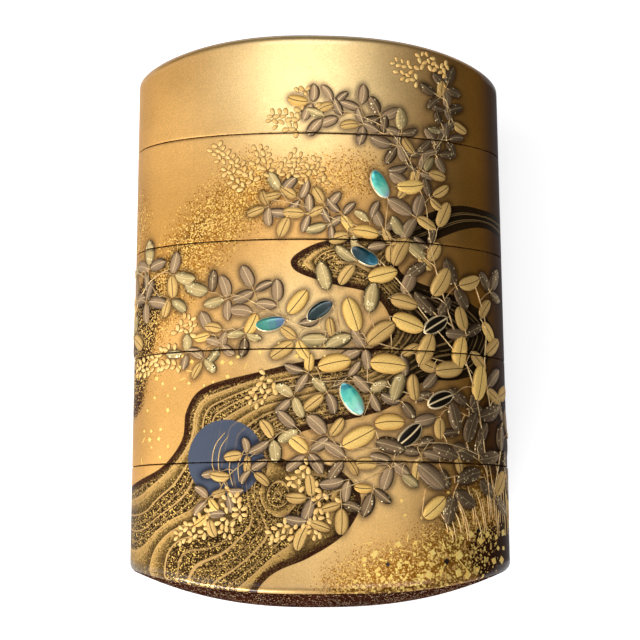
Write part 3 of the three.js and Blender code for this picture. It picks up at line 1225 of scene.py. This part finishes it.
def makeSprinkled(name, under, flake, amount, scale):
    masks = {}

    def colour(tree):
        first = useGroup(tree, flakesGroup, Scale=scale, Amount=amount, Size=0.6)
        second = useGroup(tree, flakesGroup, Scale=scale * 1.7, Amount=amount * 0.9, Size=0.6)
        masks["flake"] = most(first["Mask"], second["Mask"])
        masks["tone"] = mixValue(first["Mask"], second["Tone"], first["Tone"])
        gold = mixColour(masks["tone"], scaledColour(flake, 0.35), flake)
        cloud = stepped(powdered(tree, 3000.0, 90.0)["Cloud"], 0.35, 0.7)
        return mixColour(masks["flake"], mixColour(cloud, under, scaledColour(under, 1.8)), gold)

    def metallic(tree):
        return times(masks["flake"], 0.9)

    def roughness(tree):
        return mixValue(masks["flake"], 0.3, reckon("MULTIPLY_ADD", masks["tone"], 0.3, 0.15))

    def bump(tree):
        return masks["flake"], 0.2, 0.02 * mm

    return newMaterial(name, colour, metallic, roughness, bump, specular=0.0)


def makeLeafFinish(name, look):
    masks = {}

    def colour(tree):
        along, sideways, inward = leafParts(tree)
        powder = powdered(tree, 6500.0, 420.0)
        masks["grain"] = powder["Grain"]
        # each leaf has its own tone, and every one is painted darker towards its edge, a painted shade round
        # its dome
        depth = reckon("MULTIPLY_ADD", field(tree, "leafTone"), 0.5, times(powder["Cloud"], 0.6))
        depth = plus(depth, stepped(inward, 0.8, 0.05, 0.0, 0.55))
        base = mixColour(stepped(depth, 0.45, 1.5), look["base"], look["deep"])
        base = shaded(base, stepped(powder["Grain"], 0.3, 0.7, 0.85, 1.1))
        side = reckon("ABSOLUTE", sideways)
        veins = reckon("PINGPONG", times(minus(along, side), 1.6), 0.5)
        base = mixColour(times(stepped(veins, 0.1, 0.02), look["sideVeins"]), base, look["vein"])
        base = mixColour(flakes(tree, "leafSpeck", look["specks"])["Mask"], base, look["speck"])
        # dots ringed in gold
        distance, picked = cells(tree, 1050.0, 0.8)
        dotted = reckon("LESS_THAN", picked[1], look["dots"])
        base = mixColour(times(stepped(distance, 0.36, 0.28), dotted), base, look["speck"])
        base = mixColour(times(stepped(distance, 0.2, 0.13), dotted), base, look["dot"])
        base = mixColour(stepped(side, look["midrib"], look["midrib"] * 0.4), base, look["vein"])
        return mixColour(stepped(inward, look["rimWidth"], look["rimWidth"] * 0.6), base, look["rim"])

    def bump(tree):
        return masks["grain"], 0.2, 0.015 * mm

    return newMaterial(name, colour, look["metallic"], look["roughness"], bump, specular=0.12)


def makeShell(name, metallic, tints):
    def colour(tree):
        along, sideways, inward = leafParts(tree)
        warp, streaks = clouds(tree, 500.0, 2.0, Distortion=1.2), clouds(tree, 1800.0, 3.0)
        sheen = plus(plus(times(warp, 0.8), times(streaks, 0.25)), times(along, -0.17))
        ramp = put(tree, "ValToRGB", {0: minus(sheen, 0.1)})
        stops = ramp.color_ramp.elements
        for index, (at, tint) in enumerate(tints):
            stop = stops[index] if index < 2 else stops.new(at)
            stop.position, stop.color = at, (*tint, 1)
        return mixColour(stepped(inward, 0.36, 0.28), ramp.outputs[0], "shellRim")

    def bump(tree):
        return cells(tree, 1100.0)[0], 0.3, 0.03 * mm

    return newMaterial(name, colour, metallic, 0.18, bump, coat=0.5)


def makePlainGold(name, light, deep, metallic, roughness, skirt=None):
    def colour(tree):
        cloud = powdered(tree, 5000.0, 900.0)["Cloud"]
        gold = mixColour(stepped(cloud, 0.35, 0.65), deep, light)
        # a brown line round the foot of each bud
        return mixColour(stepped(leafParts(tree)[2], 0.54, 0.4), gold, skirt) if skirt else gold

    def bump(tree):
        return powdered(tree, 5000.0, 900.0)["Grain"], 0.15, 0.01 * mm

    return newMaterial(name, colour, metallic, roughness, bump)


leafDefaults = {
    "sideVeins": 0.0, "specks": 0.0, "speck": (1, 0.82, 0.45), "dots": 0.0, "dot": (0.01, 0.007, 0.005),
    "midrib": 0.09, "rimWidth": 0.12, "metallic": 0.8, "roughness": 0.45,
}
leafStyles = {
    "polished": {"base": (1.0, 0.65, 0.19), "deep": (0.80, 0.44, 0.11), "vein": (0.05, 0.02, 0.006),
                 "rim": (0.14, 0.06, 0.015), "sideVeins": 0.15, "metallic": 0.2},
    "pale": {"base": (0.78, 0.49, 0.16), "deep": (0.34, 0.19, 0.06), "vein": (0.08, 0.04, 0.015),
             "rim": (0.08, 0.04, 0.018), "rimWidth": 0.14, "metallic": 0.35, "sideVeins": 0.15},
    "misty": {"base": (0.58, 0.42, 0.18), "deep": (0.20, 0.16, 0.08), "vein": (0.80, 0.64, 0.34),
              "rim": (0.10, 0.07, 0.035), "specks": 0.1, "dots": 0.16, "midrib": 0.06},
    "mauve": {"base": (0.40, 0.26, 0.14), "deep": (0.13, 0.09, 0.06), "vein": (0.82, 0.62, 0.34),
              "rim": (0.20, 0.13, 0.07), "rimWidth": 0.1, "midrib": 0.06, "sideVeins": 0.15},
    "dusky": {"base": (0.25, 0.16, 0.085), "deep": (0.065, 0.036, 0.018), "vein": (0.62, 0.47, 0.24),
              "rim": (0.03, 0.02, 0.01), "specks": 0.12, "midrib": 0.06, "roughness": 0.4},
    "outlined": {"base": (0.012, 0.008, 0.005), "deep": (0.03, 0.015, 0.008), "vein": (1.0, 0.76, 0.42),
                 "rim": (1.0, 0.80, 0.48), "rimWidth": 0.46, "midrib": 0.17, "metallic": 0.4,
                 "roughness": 0.3},
}
shellStyles = {  # how metallic, then where each tint lies on the ramp: first, last, and those between
    "shellMint": (0.25, [(0.0, (0.02, 0.25, 0.30)), (1.0, (0.35, 0.42, 0.60)),
                         (0.3, (0.10, 0.62, 0.48)), (0.6, (0.30, 0.80, 0.58))]),
    "shellTeal": (0.35, [(0.0, (0.003, 0.02, 0.025)), (1.0, (0.16, 0.36, 0.46)),
                         (0.45, (0.006, 0.06, 0.08)), (0.75, (0.03, 0.18, 0.26))]),
    "shellViolet": (0.35, [(0.0, (0.02, 0.20, 0.14)), (1.0, (0.10, 0.12, 0.26)),
                           (0.4, (0.08, 0.34, 0.26)), (0.75, (0.09, 0.17, 0.28))]),
    "shellDark": (0.4, [(0.0, (0.003, 0.012, 0.012)), (1.0, (0.22, 0.20, 0.22)),
                        (0.5, (0.004, 0.025, 0.025)), (0.85, (0.04, 0.05, 0.055))]),
}
leafMaterials = [
    makeShell(name, *shellStyles[name]) if name in shellStyles
    else makeLeafFinish(name + " leaf", {**leafDefaults, **leafStyles[name]})
    for name in leafLooks
]
reliefMaterials = {
    "leaves": leafMaterials,
    "stalks": [
        makePlainGold("stalk gold", (0.88, 0.64, 0.32), (0.58, 0.37, 0.15), 0.4, 0.4),
        makePlainGold("grass gold", (1.0, 0.70, 0.32), (0.84, 0.52, 0.20), 0.2, 0.45),
    ],
    "buds": [makePlainGold("bud gold", (1.0, 0.68, 0.25), (0.90, 0.53, 0.16), 0.2, 0.5, "budSkirt")],
    "inlays": [
        makePlainGold("cut gold", (1.0, 0.74, 0.22), (1.0, 0.64, 0.14), 0.15, 0.4),
        makePlainGold("cut silver gone black", (0.03, 0.02, 0.012), (0.01, 0.007, 0.005), 0.3, 0.3),
    ],
}
shellMaterials = [
    makeGround(),
    makeSprinkled("sprinkled end", (0.030, 0.008, 0.004), (0.70, 0.40, 0.13), 0.13, 2900.0),
    makeSprinkled("sprinkled inside", (0.06, 0.018, 0.006), (0.90, 0.58, 0.20), 0.55, 2100.0),
]
for shell in shells.values():
    for index, material in enumerate(shellMaterials):
        shell.data.materials[index] = material
for made in reliefObjects:
    for material in reliefMaterials[made.name.split("_")[-1]]:
        made.data.materials.append(material)
print("finishes made")

# The camera looks down on the case from a little below its middle

view = {
    "spot": (-17.36 * mm, -40 * mm, 231.43 * mm),
    "tilt": radians(10.39),
    "turn": radians(-4.53),
    "roll": radians(-0.25),
    "lens": 76.6,
}
camera = bpy.data.objects.new("camera", bpy.data.cameras.new("camera"))
camera.data.lens = view["lens"]
camera.data.sensor_width = 36
camera.data.clip_start = 0.01
turned = Matrix.Rotation(view["turn"], 4, "Y") @ Matrix.Rotation(view["tilt"], 4, "X")
turned = turned @ Matrix.Rotation(view["roll"], 4, "Z")
camera.matrix_world = Matrix.Translation(view["spot"]) @ turned
collection.objects.link(camera)
bpy.context.scene.camera = camera

# A plain pale floor and soft studio light from above and from the left

studio = {
    "floorSize": 4.0,
    "floorTints": ((0.88, 0.88, 0.88), (0.91, 0.91, 0.91)),
    "floorGlow": 0.55,  # only the camera sees it, so the floor stays pale without lighting the case
    "world": (0.9, 0.95, 1.0, 1),
    "worldStrength": 0.05,
    "lights": [  # name, place, aim, size, power
        ("top softbox", (-0.02, 0.222, 0.53), (0, 0.03, 0.02), (0.30, 0.14), 0.6),
        ("overhead softbox", (-0.14, 0.06, 0.58), (-0.14, 0.06, 0), (0.66, 0.5), 0.9),
        ("left softbox", (-0.65, 0.05, 0.32), (0, 0, 0.01), (0.5, 0.8), 2.3),
        ("low strip", (-0.26, -0.38, 0.19), (-0.02, -0.04, 0.02), (0.44, 0.12), 2.2),
        ("right fill", (0.26, -0.10, 0.55), (0.01, -0.01, 0.02), (0.2, 0.3), 0.45),
    ],
}
floorShape = bmesh.new()
bmesh.ops.create_grid(floorShape, x_segments=1, y_segments=1, size=studio["floorSize"] / 2)
floor = newObject("floor", floorShape)


def floorColour(tree):
    return mixColour(clouds(tree, 3.0, 2.0), *studio["floorTints"])


paleFloor = newMaterial("pale floor", floorColour, 0.0, 0.9)
tree = paleFloor.node_tree
seen = put(tree, "LightPath").outputs["Is Camera Ray"]
floorShader = tree.nodes["Principled BSDF"]
floorShader.inputs["Emission Color"].default_value = (1, 1, 1, 1)
tree.links.new(times(seen, studio["floorGlow"]), floorShader.inputs["Emission Strength"])
floor.data.materials.append(paleFloor)
for name, spot, aim, size, power in studio["lights"]:
    lamp = bpy.data.lights.new(name, "AREA")
    lamp.shape, lamp.size, lamp.size_y, lamp.energy = "RECTANGLE", size[0], size[1], power
    light = bpy.data.objects.new(name, lamp)
    light.location = spot
    light.rotation_euler = (Vector(aim) - Vector(spot)).to_track_quat("-Z", "Y").to_euler()
    collection.objects.link(light)
world = bpy.data.worlds.new("studio")
world.use_nodes = True
backdrop = world.node_tree.nodes["Background"]
backdrop.inputs["Color"].default_value = studio["world"]
backdrop.inputs["Strength"].default_value = studio["worldStrength"]
bpy.context.scene.world = world
bpy.context.scene.view_settings.view_transform = "Standard"

for name, shell in shells.items():
    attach(shell, "root")
    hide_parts(name)
for made in reliefObjects:
    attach(made, "root")
print("studio set")
